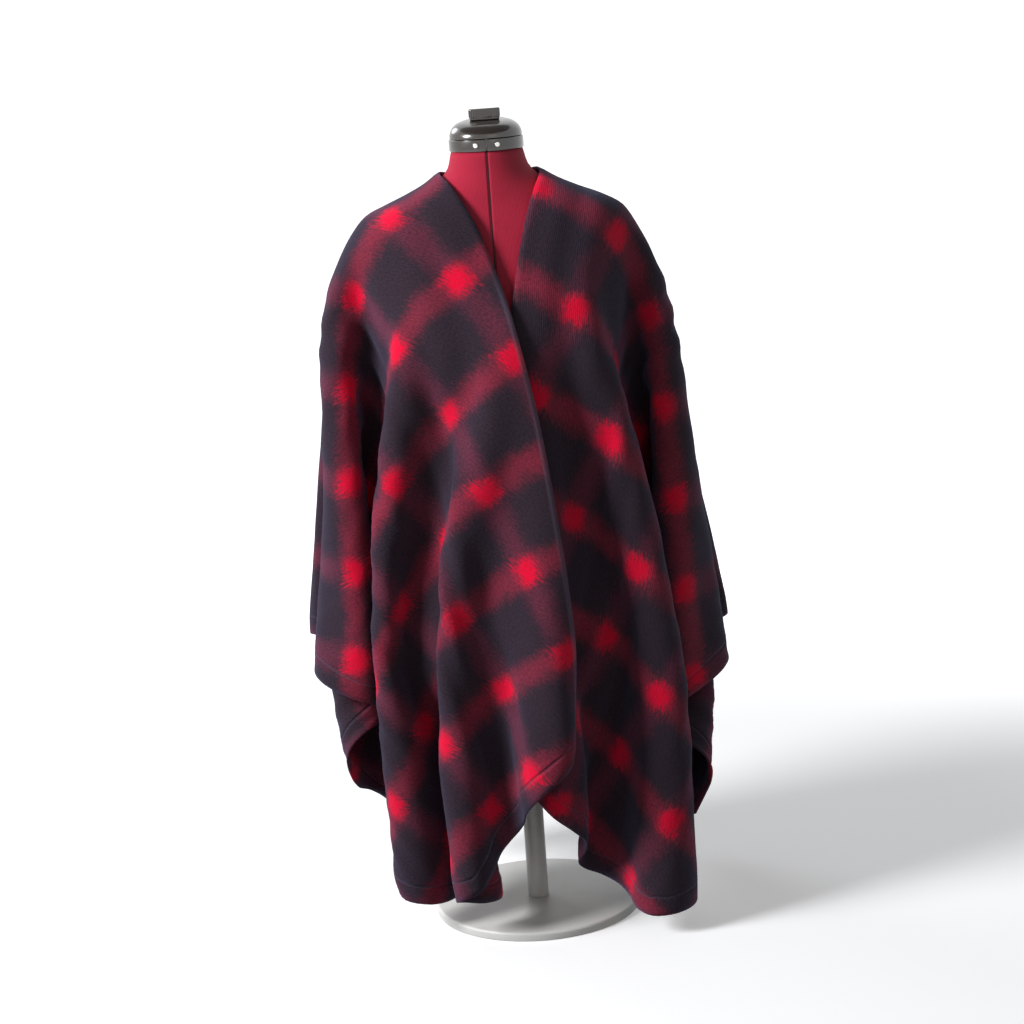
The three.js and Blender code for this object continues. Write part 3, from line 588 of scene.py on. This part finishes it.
make_camera()
make_light("key", (-2.85, -1.35, 2.3), (0, 0, 0.6), 1.3, 158, (0.97, 0.98, 1.0))
make_light("fill", (1.2, -3.2, 2.2), (0, 0, 0.6), 2.0, 6, (1.0, 0.94, 0.90))
make_light("rim", (-1.6, 1.9, 2.2), (0, 0, 0.7), 1.2, 18, (0.9, 0.94, 1.0))

plaid = plaid_material()
halves = read_cape()
wide = [with_ghosts(halves[side], halves[1 - side]) for side in (0, 1)]
cape = []
for node, sides, first, last in (
    ("cape_back", (0, 1), 0, SEAM_ROW),
    ("cape_front_right", (0,), SEAM_ROW, SEAM_ROW + FRONT_ROWS),
    ("cape_front_left", (1,), SEAM_ROW, SEAM_ROW + FRONT_ROWS),
):
    cape.append(make_cape_piece(node + "_cloth", node, sides, first, last, wide))
    piece = cape[-1][0]
    piece.data.materials.append(plaid)
    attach(piece, "root")
    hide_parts(node)
raise_folds(cape)


# The form's cover, smooth through the solid's levels.
def rounded(points, repeats, closed):
    """Points on the smooth curve through these ones, so many to a step."""
    points = np.asarray(points, float)
    count = len(points)
    if closed:
        wide = np.concatenate([points[-1:], points, points[:2]])
        steps = np.arange(count * repeats) / repeats
    else:
        wide = np.concatenate([2 * points[:1] - points[1:2], points, 2 * points[-1:] - points[-2:-1]])
        steps = np.arange((count - 1) * repeats + 1) / repeats
    i = np.minimum(np.floor(steps).astype(int), len(wide) - 4)
    shares = curve_shares(steps - i)
    shape = (-1,) + (1,) * (wide.ndim - 1)
    return sum(shares[k].reshape(shape) * wide[i + k] for k in range(4))


def make_form_cover():
    """The jersey cover, read from the solid's levels. The points of its seam groove are left out."""
    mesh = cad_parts["form_torso"].data
    rings = {}
    for v in mesh.vertices:
        x, y, z = v.co
        if math.hypot(x, y) > 0.01 and not (abs(x) < 0.002 and y < 0):
            rings.setdefault(round(z * 1e4), {})[round(math.atan2(x, -y) * 1e3)] = (x, y, z)
    levels = [[ring[turn] for turn in sorted(ring)] for _, ring in sorted(rings.items())]
    grid = rounded(levels, FORM_FINER, False).transpose(1, 0, 2)
    grid = rounded(grid, FORM_FINER, True).transpose(1, 0, 2)
    grid[:, :, :2] *= 1 - COVER_INSET / np.linalg.norm(grid[:, :, :2], axis=2)[:, :, None]
    return make_mesh("form_cover", grid.reshape(-1, 3), tube_faces(*grid.shape[:2]))


def jersey_material():
    """Taut crimson jersey: fine ribs down the form, a dark line of painted shade in the seam groove down
    its centre front.
    """
    n = Nodes("jersey_cover")
    place = n.place()
    parts = n.split(place)
    off_seam = n.maths("ABSOLUTE", parts[0])
    front = n.maths("LESS_THAN", parts[1], 0.0)
    # painted shade: a near-black line where the centre front seam sinks in
    seam = n.maths("MULTIPLY", n.maths("LESS_THAN", off_seam, 0.0011), front)
    tone = n.noise(place, 30, 3)
    colour = n.mix(tone, (0.36, 0.006, 0.030), (0.47, 0.010, 0.042))
    colour = n.mix(seam, colour, (0.03, 0.004, 0.008))
    n.set(Base_Color=colour, Roughness=0.8, Specular_IOR_Level=0.2)
    n.set(Sheen_Weight=0.15, Sheen_Roughness=0.5, Sheen_Tint=(1.0, 0.6, 0.62))
    ribs = n.add("ShaderNodeTexWave", wave_type="BANDS", bands_direction="X")
    n.feed(ribs.inputs["Vector"], place)
    ribs.inputs["Scale"].default_value = 190
    ribs.inputs["Distortion"].default_value = 0.6
    groove = n.maths("MULTIPLY", n.fade(off_seam, 0.0004, 0.0035), front)
    height = n.maths("ADD", n.maths("MULTIPLY", ribs.outputs["Fac"], 0.3), n.noise(place, 1500, 2))
    n.bump(n.maths("MULTIPLY_ADD", groove, -5, height), 0.0003)
    return n.material


cover = make_form_cover()
cover.data.materials.append(jersey_material())
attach(cover, "root")
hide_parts("form_torso")


# The cap and the stand.
def make_turned(name, profile, sides=96):
    """A body turned about the Z axis, from rows of (radius, height). A radius of 0 closes it."""
    rings, points = [], []
    for radius, z in profile:
        if radius == 0:
            rings.append([len(points)])
            points.append((0, 0, z))
            continue
        rings.append(list(range(len(points), len(points) + sides)))
        turns = [2 * math.pi * k / sides for k in range(sides)]
        points += [(radius * math.cos(t), radius * math.sin(t), z) for t in turns]
    faces = []
    for low, high in zip(rings, rings[1:]):
        for k in range(sides):
            corners = [low[k % len(low)], low[(k + 1) % len(low)]]
            corners += [high[(k + 1) % len(high)], high[k % len(high)]]
            faces.append(tuple(dict.fromkeys(corners)))
    return make_mesh(name, points, faces)


def corner_arc(radius, z, size, steps, turn_from, turn_to):
    turns = [math.radians(turn_from + (turn_to - turn_from) * k / steps) for k in range(steps + 1)]
    return [(radius + size * math.cos(t), z + size * math.sin(t)) for t in turns]


def finish_piece(piece, material, slot, *nodes):
    piece.data.materials.append(material)
    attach(piece, "root")
    if nodes:
        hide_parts(*nodes)
    return piece


def plastic_material():
    n = Nodes("dark_plastic")
    place = n.place()
    tone = n.noise(place, 40, 3)
    n.set(Base_Color=n.mix(tone, (0.018, 0.012, 0.009), (0.030, 0.020, 0.015)), Specular_IOR_Level=0.6)
    scuffs = n.noise(n.stretched(place, (60, 60, 400)), 1, 4)
    n.set(Roughness=n.maths("MULTIPLY_ADD", scuffs, 0.22, 0.12), Coat_Weight=0.5, Coat_Roughness=0.08)
    n.bump(n.noise(place, 260, 2), 0.00008)
    return n.material


def metal_material(name, colours, roughness, metallic, scale):
    n = Nodes(name)
    place = n.place()
    n.set(Base_Color=n.mix(n.noise(place, scale / 8, 3), *colours), Metallic=metallic)
    n.set(Roughness=n.maths("MULTIPLY_ADD", n.noise(place, scale, 3), 0.2, roughness - 0.1))
    n.bump(n.noise(place, scale, 2), 0.00006)
    return n.material


def board_material():
    n = Nodes("board")
    place = n.place()
    grain = n.noise(n.stretched(place, (30, 240, 240)), 1, 4)
    n.set(Base_Color=n.mix(grain, (0.30, 0.19, 0.10), (0.52, 0.37, 0.22)), Roughness=0.75)
    n.bump(grain, 0.0002)
    return n.material


plastic = plastic_material()
steel = metal_material("screw_steel", ((0.55, 0.54, 0.52), (0.72, 0.71, 0.69)), 0.3, 1.0, 400)
paint = metal_material("pale_paint", ((0.70, 0.69, 0.66), (0.78, 0.77, 0.74)), 0.45, 0.0, 300)
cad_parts["form_board"].material_slots[0].material = board_material()

low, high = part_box("neck_cap")
cap_radius, cap_foot, cap_top = high.x, low.z, high.z
band_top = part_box("neck_band")[1].z
lip = cap_radius + CAP_LIP
dome = [(0, cap_foot), (cap_radius - 0.001, cap_foot)]
dome += [(cap_radius, cap_foot + 0.001), (cap_radius, band_top)]
dome += [(cap_radius, band_top + 0.0004), (lip - 0.0006, band_top + 0.0006), (lip, band_top + 0.0014)]
shoulder = band_top + 0.0014
for k in range(1, 33):
    turn = math.pi / 2 * k / 33
    rise = (cap_top - shoulder) * math.sin(turn) ** 0.9
    dome.append((lip * math.cos(turn) ** CAP_FLATNESS, shoulder + rise))
dome.append((0, cap_top))
crown = make_turned("cap_dome", dome)
for v in crown.data.vertices:
    v.co.z += CAP_SLOPE * v.co.y * max(0, v.co.z - shoulder) / (cap_top - shoulder)
finish_piece(crown, plastic, "dark_plastic", "neck_cap")

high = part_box("base_plate")[1]
radius, top = high.x, high.z
plate = [(0, 0)] + corner_arc(radius - 0.001, 0.001, 0.001, 3, -90, 0)
plate += corner_arc(radius - 0.0035, top - 0.0035, 0.0035, 8, 0, 90)
plate += [(0.026, top), (0, top)]
finish_piece(make_turned("stand_plate", plate, 128), paint, "pale_paint", "base_plate")
low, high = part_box("pole")
pole = [(0, low.z), (high.x - 0.0008, low.z), (high.x, low.z + 0.0008)]
pole += [(high.x, low.z + (high.z - low.z) * k / 12) for k in range(1, 12)]
pole += [(high.x, high.z - 0.0008), (high.x - 0.0008, high.z), (0, high.z)]
finish_piece(make_turned("stand_pole", pole, 64), paint, "pale_paint", "pole")
pole_radius = high.x
low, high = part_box("pole_collar")
inside = pole_radius + 0.0003
collar = [(inside, low.z)] + corner_arc(high.x - 0.0015, low.z + 0.0015, 0.0015, 4, -90, 0)
collar += corner_arc(high.x - 0.003, high.z - 0.003, 0.003, 6, 0, 90)
collar += [(inside, high.z), (inside, low.z)]
finish_piece(make_turned("stand_collar", collar, 64), paint, "pale_paint", "pole_collar")


def make_bevelled(name, node, width, segments):
    """A node's own shape with its sharp edges rounded."""
    piece = bpy.data.objects.new(name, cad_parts[node].data.copy())
    scene.collection.objects.link(piece)
    piece.data.materials.clear()
    mesh = bmesh.new()
    mesh.from_mesh(piece.data)
    bmesh.ops.remove_doubles(mesh, verts=mesh.verts, dist=1e-6)
    bmesh.ops.dissolve_limit(mesh, angle_limit=math.radians(1), verts=mesh.verts, edges=mesh.edges)
    sharp = [e for e in mesh.edges if e.is_manifold and e.calc_face_angle() > math.radians(35)]
    bmesh.ops.bevel(
        mesh, geom=sharp, offset=width, segments=segments, profile=0.5, affect="EDGES", clamp_overlap=True
    )
    mesh.to_mesh(piece.data)
    mesh.free()
    piece.data.shade_smooth()
    piece.data.set_sharp_from_angle(angle=math.radians(40))
    return piece


finish_piece(make_bevelled("cap_band", "neck_band", 0.0007, 3), plastic, "dark_plastic", "neck_band")


def make_grip():
    """The cap's finger grip: a bar with ribbed sides on a foot that spreads under it."""
    low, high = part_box("cap_knob")
    half, deep, tall = high.x, high.y, high.z - low.z
    points = []
    levels = [(0.0, 0.92), (0.05, 0.935), (0.12, 0.94), (0.20, 0.965), (0.26, 0.99), (0.31, 1.0)]
    levels += [(0.31 + 0.61 * k / 6, 1.0) for k in range(1, 7)] + [(0.97, 0.985), (1.0, 0.95)]
    around = 120
    for share, size in levels:
        ribbed = RIB_DEPTH if 0.25 < share < 0.95 else 0.0
        for k in range(around):
            turn = 2 * math.pi * k / around
            x = (half - 0.0006) * math.copysign(abs(math.cos(turn)) ** GRIP_SQUARENESS, math.cos(turn))
            y = (deep - 0.0006) * math.copysign(abs(math.sin(turn)) ** GRIP_SQUARENESS, math.sin(turn))
            rib = ribbed * math.sin(2 * math.pi * x / RIB_PITCH) * (abs(x) < 0.86 * half)
            y += math.copysign(1, y) * rib
            points.append((x * size, y * size, low.z + tall * share))
    piece = make_mesh("cap_grip", points, tube_faces(len(levels), around))
    piece.data.set_sharp_from_angle(angle=math.radians(40))
    return piece


finish_piece(make_grip(), plastic, "dark_plastic", "cap_knob")
for node in ("band_screw_right", "band_screw_left"):
    finish_piece(make_bevelled(node + "_head", node, 0.0004, 2), steel, "screw_steel", node)


def make_floor():
    """A round pale floor that curves up into a wall. It glows with painted light that grows stronger away
    from the object, which hides its horizon and whitens the far part of its cast shadow.
    """
    profile = [(0, 0.0)] + [(0.5 * k, 0.0) for k in range(1, 15)]
    profile += corner_arc(7.0, 2.0, 2.0, 12, -90, 0)[1:] + [(9.0, 10.0)]
    floor = make_turned("floor", profile)
    floor.visible_diffuse = False
    n = Nodes("floor")
    place = n.place()
    length = n.add("ShaderNodeVectorMath", operation="LENGTH")
    n.feed(length.inputs[0], place)
    # painted light: the glow is dimmer near the object and full far off, fading the cast shadow out
    near = n.fade(length.outputs["Value"], 0.6, 2.0)
    n.set(Base_Color=(0.93, 0.93, 0.93), Roughness=0.8, Emission_Color=(1.0, 1.0, 1.0))
    n.set(Emission_Strength=n.maths("MULTIPLY_ADD", near, -0.68, 0.95))
    floor.data.materials.append(n.material)


make_floor()
world = bpy.data.worlds.new("studio")
scene.world = world
world.use_nodes = True
world.node_tree.nodes["Background"].inputs["Color"].default_value = (0.95, 0.97, 1.0, 1)
world.node_tree.nodes["Background"].inputs["Strength"].default_value = 0.18
scene.view_settings.view_transform = "Standard"
